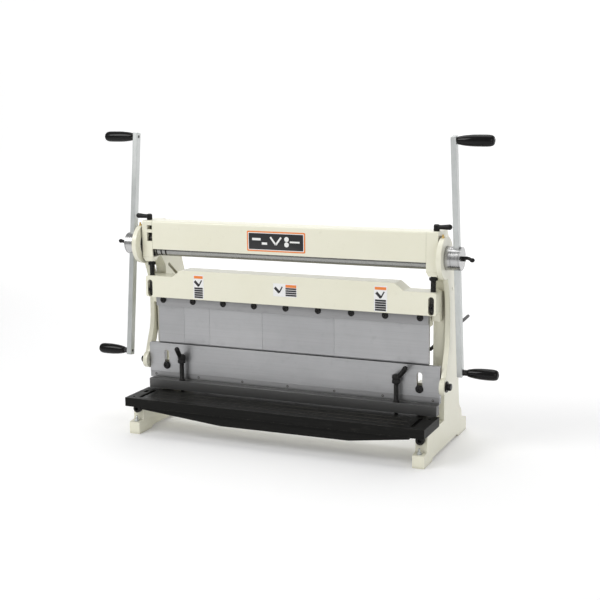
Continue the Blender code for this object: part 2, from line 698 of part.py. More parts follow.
def jack_screw(side):
    place = at(side * JACK[0], JACK[1], 0)
    screw = rod(side_name(side, "jack_screw"), place + Vector((0, 0, 0.5440)),
                place + Vector((0, 0, 0.6065)), 0.0093, segments=20)
    join(screw, rod("nut", place + Vector((0, 0, 0.585)), place + Vector((0, 0, 0.595)), 0.0150, segments=6))
    return finish(screw, BLACK, place + Vector((0, 0, 0.590)))


# ---- hold-down ----
def hold_down_bar():
    bar = block("hold_down_bar", (-0.532, RAM_HALF), (-0.034, -0.006), (0.140, 0.174))
    for side in (-1, 1):
        cut(bar, rod("hole", at(side * CLAMP_X, CLAMP_Y, 0.13), at(side * CLAMP_X, CLAMP_Y, 0.19), 0.0063,
                     segments=16))
    return finish(bar, STEEL)


def hold_down_stud(side):
    profile = ((0.0, 0.2375), (0.0075, 0.2375), (0.0088, 0.236), (0.0088, 0.1742), (0.006, 0.1742),
               (0.006, 0.084), (0.0, 0.084))
    stud = turned(side_name(side, "hold_down_stud"), profile, at(side * CLAMP_X, CLAMP_Y, 0),
                  Vector((0, 0, 1)), 20)
    return finish(stud, BLACK)


def hold_down_lever(side):
    foot = at(side * CLAMP_X, CLAMP_Y, 0)
    reach = {-1: Vector((-0.003, -0.026, 0.292)), 1: Vector((0.034, -0.010, 0.292))}
    lever = clamp_handle(side_name(side, "hold_down_lever"), foot, foot + reach[side], 0.2378, 0.270, 0.0145,
                         0.0092)
    return finish(lever, BLACK, foot + Vector((0, 0, 0.25)))


# ---- assembly ----
clear_scene()
MACHINE = machine_collection()
CRANK = at(0, 0, ROLL_Z)
UPPER = at(0, 0, UPPER_ROLL_Z)
REAR = at(0, *REAR_ROLL)
PINCH_X = 0.5305
GAUGE_WAY = Vector((0, 1, GAUGE_RISE)).normalized()

bed_casting()
lower_shear_blade()
extension_table()
roll_cover()
gauge_fence()
lower_roll()
plain_roll("upper_roll", UPPER, 0.543)
plain_roll("rear_roll", REAR, 0.540)
roll_gear("lower_roll_gear", CRANK, 0.0123, 0.0)
roll_gear("upper_roll_gear", UPPER, 0.0103, 0.5)
ram_plate()
upper_shear_blade()
finger_beam()
finger_clamp_strip()
hold_down_bar()
for number in range(1, len(FINGER_ENDS)):
    brake_finger(number)
for side in (-1, 1):
    side_frame(side)
    table_bolt(side)
    ram_guide_bolt(side)
    beam_lock_bolt(side)
    gauge_rod(side)
    bearing_block(side_name(side, "upper_bearing"), side, 0.527, 0.5445, (0.0, UPPER_ROLL_Z))
    bearing_block(side_name(side, "rear_bearing"), side, 0.507, 0.543, REAR_ROLL)
    pinch_lever(side)
    eccentric_hub(side)
    handle_bar(side)
    hub_clamp_lever(side)
    connecting_rod(side)
    ram_pin(side)
    jack_screw(side)
    hold_down_stud(side)
    hold_down_lever(side)
    for end in (-1, 1):
        grip_spindle(side, end)
        grip(side, end)
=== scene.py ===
import json
import math

import bmesh
import bpy
import numpy as np
from mathutils import Matrix, Vector


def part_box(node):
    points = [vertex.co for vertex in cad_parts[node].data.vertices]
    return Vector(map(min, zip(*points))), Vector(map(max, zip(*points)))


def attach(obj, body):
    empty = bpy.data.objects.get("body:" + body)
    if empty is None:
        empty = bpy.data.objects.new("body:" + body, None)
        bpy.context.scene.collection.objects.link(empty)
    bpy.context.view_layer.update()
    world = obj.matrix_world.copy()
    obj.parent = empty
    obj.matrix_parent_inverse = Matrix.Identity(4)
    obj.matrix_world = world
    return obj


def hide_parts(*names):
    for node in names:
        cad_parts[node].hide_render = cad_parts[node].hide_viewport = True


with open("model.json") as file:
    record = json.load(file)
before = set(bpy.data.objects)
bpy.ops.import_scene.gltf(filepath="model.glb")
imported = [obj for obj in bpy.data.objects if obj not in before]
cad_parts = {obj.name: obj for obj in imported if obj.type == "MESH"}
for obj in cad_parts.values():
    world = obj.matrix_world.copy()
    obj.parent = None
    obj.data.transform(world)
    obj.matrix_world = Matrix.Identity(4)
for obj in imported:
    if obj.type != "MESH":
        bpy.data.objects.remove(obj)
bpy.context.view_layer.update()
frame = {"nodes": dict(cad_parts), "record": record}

BODY_OF = {node: body for body, nodes in frame["record"]["behaviour"]["bodies"].items() for node in nodes}
SLOT_OF = {part["node"]: part["material_slot"] for part in frame["record"]["subparts"]}
SIDES = (("left", -1), ("right", 1))


def middle(node):
    """Centre of a node's box."""
    low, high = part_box(node)
    return (np.array(low) + np.array(high)) / 2


SHAFT_Y = middle("lower_roll")[1]
ROLL_Z = middle("lower_roll")[2]
HUB_Z = middle("right_eccentric_hub")[2]
PINCH_X = 0.5305                # pinch levers, from the middle of the machine
STUD_X = 0.404                  # hold-down studs
SCREW_PITCH = 0.120             # clamp strip screws
BLADE_SCREW_PITCH = 0.1745
ROLL_HALF = 0.5035              # half the length of a roll between its journals
FORWARD, UP = (0, -1, 0), (0, 0, 1)
TURN = 2 * math.pi
WELD = 0.000002                 # points closer than this are one point
# Wire grooves turned in the left end of the lower roll: place along X, half width.
WIRE_GROOVES = ((-0.458, 0.0035), (-0.476, 0.0028), (-0.495, 0.0022))
TABLE_GROOVES = (-0.066, -0.084, -0.102, -0.120, -0.138)


def at(x, y, z):
    """World point from a point whose depth is measured from the plane of the crank shaft."""
    return np.array((x, y + SHAFT_Y, z))


# ---- shader maths ----
class Value:
    """A number or colour that changes over a surface; arithmetic on numbers adds Math nodes."""

    def __init__(self, look, socket):
        self.look = look
        self.socket = socket

    def _maths(self, operation, *terms):
        made = self.look.node("ShaderNodeMath", {"operation": operation}, dict(enumerate(terms)))
        return Value(self.look, made.outputs[0])

    def __add__(self, other):
        return self._maths("ADD", self, other)

    def __sub__(self, other):
        return self._maths("SUBTRACT", self, other)

    def __rsub__(self, other):
        return self._maths("SUBTRACT", other, self)

    def __mul__(self, other):
        return self._maths("MULTIPLY", self, other)

    def size(self):
        """The value without its sign."""
        return self._maths("ABSOLUTE", self)

    __radd__ = __add__
    __rmul__ = __mul__


class Look:
    """A finish: one Principled shader with patterns on Object coordinates."""

    def __init__(self, name, **constants):
        self.material = bpy.data.materials.new(name)
        self.material.use_nodes = True
        self.tree = self.material.node_tree
        self.shader = self.tree.nodes["Principled BSDF"]
        for socket, value in constants.items():
            self.shader.inputs[socket.replace("_", " ")].default_value = value
        self.places = self.node("ShaderNodeTexCoord").outputs["Object"]

    def node(self, kind, settings=(), sockets=()):
        """Add a node of a type: its settings are set first, then the values or links of its sockets."""
        made = self.tree.nodes.new(kind)
        for key, value in dict(settings).items():
            setattr(made, key, value)
        for key, value in dict(sockets).items():
            self.feed(made.inputs[key], value)
        return made

    def feed(self, socket, value):
        if isinstance(value, Value):
            value = value.socket
        if isinstance(value, bpy.types.NodeSocket):
            self.tree.links.new(value, socket)
        else:
            socket.default_value = value

    def stretched(self, scales):
        """Object coordinates multiplied along X, Y and Z, so that a pattern runs in long streaks."""
        return self.node("ShaderNodeMapping", {}, {"Vector": self.places, "Scale": scales}).outputs[0]

    def noise(self, scale, detail=3.0, rough=0.55, places=None):
        """Cloudy pattern from 0 to 1, at a number of patches per metre."""
        made = self.node("ShaderNodeTexNoise", {}, {"Vector": places or self.places, "Scale": scale,
                                                    "Detail": detail, "Roughness": rough})
        return Value(self, made.outputs["Fac"])

    def spread(self, value, low, high):
        """0 below low, 1 above high, and even between."""
        made = self.node("ShaderNodeMapRange", {}, {0: value, 1: low, 2: high})
        return Value(self, made.outputs[0])

    def edges(self, radius):
        """Near 1 along convex and concave edges, 0 on open faces: how far a rounded normal leans."""
        soft = self.node("ShaderNodeBevel", {"samples": 4}, {"Radius": radius}).outputs[0]
        true = self.node("ShaderNodeNewGeometry").outputs["Normal"]
        lean = self.node("ShaderNodeVectorMath", {"operation": "DOT_PRODUCT"}, {0: soft, 1: true})
        return self.spread(1 - Value(self, lean.outputs["Value"]), 0.01, 0.16)

    def creases(self, reach):
        """Mask for painted shade: near 1 in corners and narrow gaps, 0 in the open: how much of the near
        surroundings is hidden.
        """
        made = self.node("ShaderNodeAmbientOcclusion", {"samples": 6}, {"Distance": reach})
        return self.spread(1 - Value(self, made.outputs["AO"]), 0.22, 0.85)

    def along(self, axis):
        """Object coordinate along X, Y or Z."""
        return Value(self, self.node("ShaderNodeSeparateXYZ", {}, {0: self.places}).outputs[axis])

    def bands(self, coordinate, bands):
        """1 inside thin bands given as (place, half width) along a coordinate, 0 outside."""
        total = None
        for place, half in bands:
            here = 1 - self.spread((coordinate - place).size(), half * 0.75, half)
            total = here if total is None else total + here
        return total

    def blend(self, first, second, share):
        """Colour that goes from the first to the second as the share goes from 0 to 1."""
        made = self.node("ShaderNodeMix", {"data_type": "RGBA"},
                         {0: share, 6: rgba(first), 7: rgba(second)})
        return Value(self, made.outputs[2])

    def paint(self, colour=None, roughness=None, metallic=None, coat=None):
        for socket, value in (("Base Color", colour), ("Roughness", roughness), ("Metallic", metallic),
                              ("Coat Weight", coat)):
            if value is not None:
                self.feed(self.shader.inputs[socket], rgba(value))

    def relief(self, *layers):
        """Bumps: (height pattern, depth in metres) pairs, one on top of the other."""
        below = {}
        for pattern, depth in layers:
            made = self.node("ShaderNodeBump", {}, {"Height": pattern, "Distance": depth, "Strength": 1.0,
                                                    **below})
            below = {"Normal": made.outputs[0]}
        self.feed(self.shader.inputs["Normal"], below["Normal"])


def rgba(colour):
    """A plain colour given an alpha of 1; anything else as it is."""
    return (*colour, 1.0) if isinstance(colour, tuple) and len(colour) == 3 else colour


# ---- finishes ----
def shaded(tone, factor):
    """A colour made darker or lighter by a factor, kept below 1."""
    return tuple(min(1.0, factor * part) for part in tone)


def cream_enamel():
    """Gloss enamel over castings: slow waves, orange peel, patches of grime, painted shade in the corners,
    worn edges.
    """
    look = Look("cream enamel", IOR=1.5, Coat_Roughness=0.12)
    # corner: mask for the painted shade in corners and narrow gaps
    corner = look.creases(0.020)
    cloud = look.noise(7.0, 4.0)
    grime = look.spread(look.noise(38.0, 6.0, 0.65), 0.60, 0.80)
    worn = look.edges(0.0022) * look.spread(look.noise(160.0, 4.0), 0.50, 0.68)
    base = look.blend((0.790, 0.770, 0.620), (0.832, 0.818, 0.685), cloud)
    grimy = look.blend(base, (0.62, 0.585, 0.45), grime * 0.30)
    # Painted shade: corners and narrow gaps are darkened towards dark brown by the crease mask.
    corner_shaded = look.blend(grimy, (0.25, 0.225, 0.14), corner * 0.80)
    look.paint(look.blend(corner_shaded, (0.55, 0.53, 0.45), worn * 0.55),
               look.noise(60.0) * 0.10 + 0.27 + grime * 0.15 + worn * 0.2, coat=0.35 - worn * 0.3)
    look.relief((look.noise(48.0, 3.0), 0.0007), (look.noise(620.0, 2.0), 0.00009))
    return look.material


def ground_steel(name, tone, seed):
    """Surface-ground plate: long grinding lines along X, oil clouds, painted shade in the joints and gaps,
    bright burred edges.
    """
    look = Look(name)
    lines = look.noise(1.0, 5.0, 0.7, look.stretched((3.0, 420.0, 420.0)))
    shifted = look.node("ShaderNodeVectorMath", {"operation": "ADD"},
                        {0: look.places, 1: (seed, seed * 0.7, -seed)}).outputs[0]
    cloud = look.noise(9.0, 4.0, 0.6, shifted)
    stain = look.spread(look.noise(30.0, 5.0, 0.6, shifted), 0.58, 0.78)
    bright = look.edges(0.0012)
    base = look.blend(shaded(tone, 0.90), shaded(tone, 1.10), cloud)
    # Painted shade: joints and gaps are darkened towards a fifth of the tone by the crease mask.
    base = look.blend(base, shaded(tone, 0.22), look.creases(0.007) * 0.85)
    lined = look.blend(base, shaded(tone, 0.80), look.spread(lines, 0.45, 0.72) * 0.35)
    oily = look.blend(lined, shaded(tone, 0.72), stain * 0.28)
    look.paint(look.blend(oily, (0.80, 0.80, 0.80), bright * 0.5),
               lines * 0.22 + 0.30 + stain * 0.10 - bright * 0.08, 0.92 - stain * 0.15)
    look.relief((lines, 0.00006), (look.noise(240.0, 3.0, 0.6, shifted), 0.00002))
    return look.material


def turned_steel(name, dark, light, lined):
    """Lathe-turned steel: fine rings round the X axis, brown clouds of oil, painted shade in the creases,
    and near-black bands of painted shade at the grooves and shoulders given as (X, half width)."""
    look = Look(name, Metallic=1.0, Anisotropic=0.4)
    rings = look.noise(1.0, 4.0, 0.75, look.stretched((1600.0, 6.0, 6.0)))
    broad = look.noise(1.0, 3.0, 0.5, look.stretched((210.0, 3.0, 3.0)))
    cloud = look.noise(24.0, 4.0)
    # Painted shade: near-black bands at the listed X places, where the grooves and shoulders fall.
    groove = look.bands(look.along("X"), lined)
    # Painted shade: creases are darkened to a quarter of the dark tone by the crease mask.
    base = look.blend(look.blend(dark, light, rings), shaded(dark, 0.25), look.creases(0.012) * 0.8)
    oiled = look.blend(base, shaded(dark, 0.8), look.spread(cloud, 0.55, 0.80) * 0.30)
    look.paint(look.blend(oiled, (0.035, 0.033, 0.030), groove * 0.9), rings * 0.12 + broad * 0.08 + 0.16)
    look.relief((rings, 0.00002), (broad, 0.00002))
    return look.material


def zinc_plate():
    """Bright zinc on drawn bar: greenish-grey sheen, drawing lines along Z, rubbed corners."""
    look = Look("zinc plate", Metallic=0.9)
    lines = look.noise(1.0, 4.0, 0.6, look.stretched((330.0, 330.0, 4.0)))
    cloud = look.noise(16.0, 5.0, 0.6)
    rubbed = look.edges(0.0014)
    base = look.blend((0.48, 0.505, 0.495), (0.68, 0.695, 0.69), cloud)
    look.paint(look.blend(look.blend(base, (0.38, 0.415, 0.40), look.spread(lines, 0.5, 0.75) * 0.3),
                          (0.86, 0.87, 0.86), rubbed * 0.6), lines * 0.14 + cloud * 0.16 + 0.24)
    look.relief((lines, 0.00005), (look.noise(420.0, 3.0), 0.00003))
    return look.material


def black_oxide():
    """Oiled black oxide on screws and levers: near black, brown-grey where handled, bare steel on edges."""
    look = Look("black oxide", Specular_IOR_Level=0.17)
    cloud = look.noise(90.0, 5.0, 0.6)
    rubbed = look.edges(0.0011) * look.spread(look.noise(300.0, 3.0), 0.35, 0.62)
    base = look.blend((0.007, 0.007, 0.008), (0.021, 0.020, 0.019), cloud)
    look.paint(look.blend(base, (0.20, 0.195, 0.185), rubbed * 0.6), cloud * 0.20 + 0.22 - rubbed * 0.05)
    look.relief((look.noise(900.0, 3.0), 0.00004), (cloud, 0.00008))
    return look.material


def table_black():
    """Black enamel on the table: semi-gloss, machined lines under the paint, scuffs where sheets slide."""
    look = Look("table black", Metallic=0.0, IOR=1.5, Specular_IOR_Level=0.09)
    lines = look.noise(1.0, 3.0, 0.5, look.stretched((2.5, 140.0, 140.0)))
    scuff = look.spread(look.noise(1.0, 6.0, 0.65, look.stretched((16.0, 9.0, 60.0))), 0.56, 0.76)
    worn = look.edges(0.0016) * look.spread(look.noise(140.0, 4.0), 0.42, 0.62)
    base = look.blend((0.0055, 0.0055, 0.0052), (0.0135, 0.0135, 0.0125), lines)
    dull = look.blend(base, (0.032, 0.031, 0.028), scuff * 0.5)
    level = look.spread(look.along("Z"), 0.1325, 0.1338)
    depth = look.along("Y")
    broken = look.spread(look.noise(1.0, 4.0, 0.6, look.stretched((4.0, 9.0, 1.0))), 0.36, 0.60)
    ends = look.spread(look.along("X").size(), 0.468, 0.478)
    # Painted highlight: light lines along the rear lip of every second groove, broken up and stopped at the
    # groove's ends.
    lip_highlight = look.bands(depth, [(SHAFT_Y + y + 0.0020, 0.0014) for y in TABLE_GROOVES[::2]])
    lip_highlight = lip_highlight * level * broken * (1 - ends)
    lit = look.blend(dull, (0.11, 0.105, 0.088), lip_highlight * 0.6)
    look.paint(look.blend(lit, (0.17, 0.165, 0.15), worn * 0.6), lines * 0.14 + scuff * 0.16 + 0.34)
    look.relief((lines, 0.00003), (look.noise(75.0, 3.0), 0.0003), (look.noise(700.0, 2.0), 0.00006))
    return look.material


def grip_black():
    """Moulded phenolic: deep gloss with a fine mottle and dulled palms."""
    look = Look("phenolic", IOR=1.5, Specular_IOR_Level=0.13, Coat_Roughness=0.04)
    cloud = look.noise(65.0, 4.0)
    look.paint(look.blend((0.0035, 0.0035, 0.004), (0.010, 0.0095, 0.0095), cloud),
               look.spread(cloud, 0.35, 0.75) * 0.10 + 0.10, coat=0.16 - cloud * 0.08)
    look.relief((look.noise(260.0, 2.0), 0.00003),)
    return look.material


def plain_metal(name, tone):
    """Machined or cast metal kept plain: mottled tone, fine tooth, bright edges."""
    look = Look(name, Metallic=0.95)
    cloud = look.noise(200.0, 5.0, 0.6)
    bright = look.edges(0.0009)
    base = look.blend(shaded(tone, 0.72), shaded(tone, 1.18), cloud)
    look.paint(look.blend(base, shaded(tone, 1.6), bright * 0.5), cloud * 0.25 + 0.22)
    look.relief((cloud, 0.00006),)
    return look.material


def printed(name, colour):
    """Printed film on a plate: even ink with the faintest speckle, satin."""
    look = Look(name)
    cloud = look.noise(420.0, 4.0)
    look.paint(look.blend(shaded(colour, 0.90), colour, look.spread(cloud, 0.3, 0.6)), cloud * 0.10 + 0.30)
    look.relief((cloud, 0.00002),)
    return look.material


LOOKS = {
    "cream_enamel": cream_enamel(),
    "ground_steel": ground_steel("ground steel", (0.45, 0.452, 0.46), 0.0),
    "turned_steel": turned_steel("turned steel", (0.40, 0.40, 0.405), (0.60, 0.60, 0.595),
                                 [(x, 0.0006) for x in (0.5860, 0.6125, -0.5860, -0.6125)]),
    "zinc_bar": zinc_plate(),
    "black_oxide": black_oxide(),
    "table_black": table_black(),
    "grip_plastic": grip_black(),
    # Dark tone: painted shade for the gears and bearing blocks seen through the frame windows; the blade
    # screws use it as plain dark steel.
    "gear_steel": plain_metal("gear steel", (0.115, 0.11, 0.105)),
}
# Painted shade: the roll steels are toned darker than the hubs' turned steel, for the shade under the roll
# cover.
ROLL_DARK, ROLL_LIGHT = (0.255, 0.255, 0.245), (0.385, 0.385, 0.370)
ROLL_STEEL = turned_steel("roll steel", ROLL_DARK, ROLL_LIGHT,
                          ((-0.458, 0.0038), (-0.476, 0.0034), (-0.495, 0.0030)))
PLAIN_ROLL_STEEL = turned_steel("plain roll steel", ROLL_DARK, ROLL_LIGHT,
                                ((-0.5028, 0.0008), (0.5028, 0.0008)))
BRASS = plain_metal("brass", (0.72, 0.50, 0.20))
DARK_STRIP = ground_steel("clamp strip steel", (0.335, 0.335, 0.34), 2.1)
HOLD_DOWN_STEEL = ground_steel("hold-down steel", (0.145, 0.145, 0.143), 5.3)
ORANGE = printed("orange print", (0.86, 0.24, 0.045))
WHITE = printed("white film", (0.86, 0.86, 0.85))
INK = printed("black print", (0.018, 0.018, 0.020))


# ---- shapes ----
def linked(name, data):
    """New object of the scene, at the origin."""
    made = bpy.data.objects.new(name, data)
    bpy.context.scene.collection.objects.link(made)
    return made


def closed_mesh(name, points, faces):
    """Mesh from arrays, its doubles merged and its faces pointed outward."""
    mesh = bpy.data.meshes.new(name)
    mesh.from_pydata(np.asarray(points, float), [], [tuple(face) for face in faces])
    shape = bmesh.new()
    shape.from_mesh(mesh)
    bmesh.ops.remove_doubles(shape, verts=shape.verts, dist=WELD)
    bmesh.ops.recalc_face_normals(shape, faces=shape.faces)
    shape.to_mesh(mesh)
    shape.free()
    return mesh


def placed(name, points, faces, body, look="black_oxide", slot=None, sharp=0.6):
    """Piece from arrays of points and faces, finished and riding on a body."""
    return dressed(linked(name, closed_mesh(name, points, faces)), body, look, sharp)


def stands_for(node, body, *grids, look="black_oxide", **more):
    """Piece of one or more grids that takes the place of a node."""
    piece = placed(node + "_finish", *several(*grids), body, look, **more)
    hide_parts(node)


def dressed(piece, body, look, sharp=0.6):
    """Smooth a piece up to an angle and give it its finish and body."""
    piece.data.materials.clear()
    piece.data.materials.append(LOOKS[look] if isinstance(look, str) else look)
    piece.data.shade_smooth()
    piece.data.set_sharp_from_angle(angle=sharp)
    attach(piece, body)
    return piece


def grid_faces(rows, columns, closed):
    """Corner numbers of the quads of a grid; closed joins the last column to the first."""
    row, column = np.meshgrid(np.arange(rows - 1), np.arange(columns if closed else columns - 1),
                              indexing="ij")
    after = (column + 1) % columns
    quads = np.stack((row * columns + column, row * columns + after, (row + 1) * columns + after,
                      (row + 1) * columns + column), axis=-1)
    return quads.reshape(-1, 4).tolist()


def frame_about(direction):
    """Two unit vectors square to a direction, and the direction itself."""
    along = np.asarray(direction, float) / np.linalg.norm(direction)
    helper = np.array((0.0, 0.0, 1.0)) if abs(along[2]) < 0.9 else np.array((0.0, 1.0, 0.0))
    across = np.cross(helper, along)
    across /= np.linalg.norm(across)
    return across, np.cross(along, across), along


def turned_grid(profile, origin, direction, steps=48, lobe=None):
    """Radius and height profile turned round an axis: point = origin + height along the axis + radius
    times (cos, sin) of the angle. lobe(angle, radius, height) may change the radius."""
    across, up, along = frame_about(direction)
    radius, height = (np.asarray(column, float)[:, None] for column in zip(*profile))
    angle = np.arange(steps)[None, :] * TURN / steps
    reach = radius * np.ones_like(angle)
    if lobe is not None:
        reach = lobe(angle, reach, height)
    points = (np.asarray(origin)[None, None, :] + height[..., None] * along
              + (reach * np.cos(angle))[..., None] * across + (reach * np.sin(angle))[..., None] * up)
    return points.reshape(-1, 3), grid_faces(len(profile), steps, True)


def pin_grid(radius, bottom, top, origin, direction, steps=24):
    """Plain round pin between two heights on its axis."""
    profile = [(0.0, bottom), (radius, bottom), (radius, top), (0.0, top)]
    return turned_grid(profile, origin, direction, steps)


def rounded_profile(corners, steps=4):
    """Radius and height corners (radius, height, rounding) with each corner replaced by an arc."""
    points = []
    for index, (a, b, rounding) in enumerate(corners):
        here = np.array((a, b))
        if rounding == 0 or index in (0, len(corners) - 1):
            points.append(here)
            continue
        before = np.array(corners[index - 1][:2]) - here
        after = np.array(corners[index + 1][:2]) - here
        before /= np.linalg.norm(before)
        after /= np.linalg.norm(after)
        share = np.linspace(0.0, 1.0, steps + 1)[:, None]
        first, last = here + before * rounding, here + after * rounding
        points.extend((1 - share) ** 2 * first + 2 * share * (1 - share) * here + share ** 2 * last)
    return [tuple(point) for point in points]


def tube_grid(path, radii, steps=20):
    """A circle of changing radius carried along a path, square to it, with rounded ends."""
    path = np.asarray(path, float)
    way = np.gradient(path, axis=0)
    way /= np.linalg.norm(way, axis=1)[:, None]
    helper = np.array((0.12, 0.34, 0.93))
    across = np.cross(way, helper)
    across /= np.linalg.norm(across, axis=1)[:, None]
    up = np.cross(way, across)
    radii = np.asarray(radii, float)
    cap = np.linspace(0.0, math.pi / 2, 6)
    start = path[0] - way[0] * (np.sin(cap) * radii[0])[::-1, None]
    end = path[-1] + way[-1] * (np.sin(cap) * radii[-1])[:, None]
    rows = np.vstack((start, path, end))
    reach = np.concatenate(((np.cos(cap) * radii[0])[::-1], radii, np.cos(cap) * radii[-1]))
    reach[0] = reach[-1] = 0.0
    across = np.vstack((np.tile(across[0], (6, 1)), across, np.tile(across[-1], (6, 1))))
    up = np.vstack((np.tile(up[0], (6, 1)), up, np.tile(up[-1], (6, 1))))
    angle = np.arange(steps) * TURN / steps
    points = (rows[:, None, :] + reach[:, None, None] * (np.cos(angle)[None, :, None] * across[:, None, :]
              + np.sin(angle)[None, :, None] * up[:, None, :]))
    return points.reshape(-1, 3), grid_faces(len(rows), steps, True)


def curve_through(points, count=24):
    """Catmull-Rom curve: each stretch is the cubic whose slope at a point joins its two neighbours."""
    points = np.asarray(points, float)
    whole = np.vstack((points[0], points, points[-1]))
    place = np.linspace(0, len(points) - 1 - 1e-9, count)
    index = place.astype(int)
    t = (place - index)[:, None]
    a, b, c, d = (whole[index + k] for k in range(4))
    return 0.5 * (2 * b + (c - a) * t + (2 * a - 5 * b + 4 * c - d) * t ** 2
                  + (3 * b - a - 3 * c + d) * t ** 3)


def several(*grids):
    """Join grids of points and faces into one mesh."""
    points, faces, offset = [], [], 0
    for some_points, some_faces in grids:
        points.append(some_points)
        faces += [[corner + offset for corner in face] for face in some_faces]
        offset += len(some_points)
    return np.vstack(points), faces


def slab_grid(outline, across, up, through, origin, thickness, rounding):
    """Flat outline thickened, its rims rounded: every ring of points is the outline moved inward along its
    own normals by rounding * (1 - sin) and through the plate by rounding * (1 - cos)."""
    outline = np.asarray(outline, float)
    edge = np.roll(outline, -1, axis=0) - outline
    edge /= np.linalg.norm(edge, axis=1)[:, None]
    normal = np.stack((edge[:, 1], -edge[:, 0]), axis=1)
    mitre = normal + np.roll(normal, 1, axis=0)
    mitre /= np.maximum((mitre * normal).sum(axis=1), 0.3)[:, None]
    if np.sum(outline[:, 0] * np.roll(outline[:, 1], -1) - np.roll(outline[:, 0], -1) * outline[:, 1]) < 0:
        mitre = -mitre
    quarter = np.linspace(0.0, math.pi / 2, 4)
    inward = rounding * (1 - np.sin(quarter))
    depth = rounding * (1 - np.cos(quarter))
    inward = np.concatenate((inward, inward[::-1]))
    depth = np.concatenate((depth, (thickness - depth)[::-1]))
    flat = outline[None] - inward[:, None, None] * mitre[None]
    across, up, through, origin = (np.asarray(v, float) for v in (across, up, through, origin))
    points = (origin + flat[..., :1] * across + flat[..., 1:] * up + depth[:, None, None] * through)
    count = len(outline)
    faces = grid_faces(len(depth), count, True)
    faces.append(list(range(count))[::-1])
    faces.append(list(range((len(depth) - 1) * count, len(depth) * count)))
    return points.reshape(-1, 3), faces


def front_plate(outline, y, thickness, rounding):
    """Slab standing in the XZ plane, its back at depth y from the shaft plane, growing towards -Y."""
    return slab_grid(outline, (1, 0, 0), UP, FORWARD, (0, y + SHAFT_Y, 0), thickness, rounding)


def oblong(x, z, half_x, half_z, corner, steps=5):
    """Rectangle with rounded corners as a list of points, anticlockwise."""
    angle = np.linspace(0.0, math.pi / 2, steps)
    points = []
    for quarter, (sx, sz) in enumerate(((1, 1), (-1, 1), (-1, -1), (1, -1))):
        turn = angle + quarter * math.pi / 2
        points += list(zip(x + sx * (half_x - corner) + corner * np.cos(turn),
                           z + sz * (half_z - corner) + corner * np.sin(turn)))
    return points


def hexagon(angle, flat):
    """Reach of a hexagon at an angle: its flat's distance over the cosine of the angle off the flat."""
    return flat / np.cos((angle % (TURN / 6)) - TURN / 12)


def hex_grid(origin, direction, flat, height):
    """Hexagon head or nut: the lesser of a hexagon and a turned barrel with chamfered ends."""
    corner = flat / math.cos(TURN / 12)
    chamfer = (corner - flat) * 0.6
    profile = [(0.0, 0.0), (flat * 0.96, 0.0), (corner * 1.01, chamfer),
               (corner * 1.01, height - chamfer), (flat * 0.96, height), (0.0, height)]

    def six_sided(angle, reach, level):
        return np.minimum(hexagon(angle, flat), reach)

    return turned_grid(profile, origin, direction, 72, six_sided)


def socket_screw_grid(origin, direction, radius, height, chamfer=0.0008):
    """Cylinder-head screw with a hexagon socket: outer barrel turned, inner wall six-sided."""
    depth = height * 0.6

    def six_inside(angle, reach, level):
        wall = (reach > radius * 0.40) & (reach < radius * 0.62)
        return np.where(wall, hexagon(angle, radius * 0.46), reach)

    profile = [(0.0, 0.0), (radius, 0.0), (radius, height - chamfer), (radius - chamfer, height),
               (radius * 0.5, height), (radius * 0.5, height - depth), (0.0, height - depth)]
    return turned_grid(profile, origin, direction, 48, six_inside)


def thread_grid(origin, direction, radius, length, pitch, depth):
    """Screw thread: radius less depth times the triangle wave of height over pitch minus the angle's share
    of a turn, fading out at both ends."""
    rows = int(length / pitch * 8)
    height = np.linspace(0.0, length, rows)
    profile = [(0.0, 0.0), *((radius, h) for h in height), (0.0, length)]

    def cut(angle, reach, level):
        phase = (level / pitch - angle / TURN) % 1.0
        wave = np.abs(2 * phase - 1)
        fade = np.clip(np.minimum(level, length - level) / pitch, 0, 1)
        return np.where(reach > 0, reach - depth * wave * fade - (1 - fade) * depth * 0.6, reach)

    return turned_grid(profile, origin, direction, 28, cut)


def machined(node, look=None, width=0.0015, segments=2, more=None):
    """Copy of a node's solid with its flat faces made whole, its edges broken and its rounds smoothed.
    more(shape) may round chosen edges further before that."""
    mesh = frame["nodes"][node].data.copy()
    shape = bmesh.new()
    shape.from_mesh(mesh)
    bmesh.ops.remove_doubles(shape, verts=shape.verts, dist=0.00002)
    bmesh.ops.dissolve_limit(shape, angle_limit=0.008, verts=shape.verts, edges=shape.edges)
    if more is not None:
        more(shape)
    shape.to_mesh(mesh)
    shape.free()
    piece = linked(node + "_finish", mesh)
    bevel = piece.modifiers.new("broken edge", "BEVEL")
    bevel.width = width
    bevel.segments = segments
    bevel.limit_method = "ANGLE"
    bevel.angle_limit = 0.55
    bevel.miter_outer = "MITER_ARC"
    dressed(piece, BODY_OF[node], look or SLOT_OF[node], 0.7)
    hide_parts(node)
    return piece


def carve(piece, grids):
    """Cut shapes out of a piece one by one, before its edges are broken."""
    for points, faces in grids:
        cutter = linked("cutter", closed_mesh("cutter", points, faces))
        change = piece.modifiers.new("cut", "BOOLEAN")
        change.operation = "DIFFERENCE"
        change.object = cutter
        while piece.modifiers[0] != change:
            piece.modifiers.move(len(piece.modifiers) - 1, 0)
        bpy.context.view_layer.update()
        later = [modifier for modifier in piece.modifiers if modifier != change]
        for modifier in later:
            modifier.show_viewport = False
        graph = bpy.context.evaluated_depsgraph_get()
        graph.update()
        result = bpy.data.meshes.new_from_object(piece.evaluated_get(graph))
        piece.modifiers.remove(change)
        for modifier in later:
            modifier.show_viewport = True
        piece.data = result
        bpy.data.objects.remove(cutter, do_unlink=True)
    piece.data.shade_smooth()
    piece.data.set_sharp_from_angle(angle=0.7)


def round_where(test, width, segments):
    """Edge rounding for machined(): bevel every edge whose two ends pass a test on (x, y, z)."""
    def work(shape):
        chosen = [edge for edge in shape.edges if len(edge.link_faces) == 2
                  and edge.calc_face_angle() > 0.5 and all(test(*v.co) for v in edge.verts)]
        bmesh.ops.bevel(shape, geom=chosen, offset=width, segments=segments, profile=0.5, affect="EDGES",
                        clamp_overlap=True)
    return work


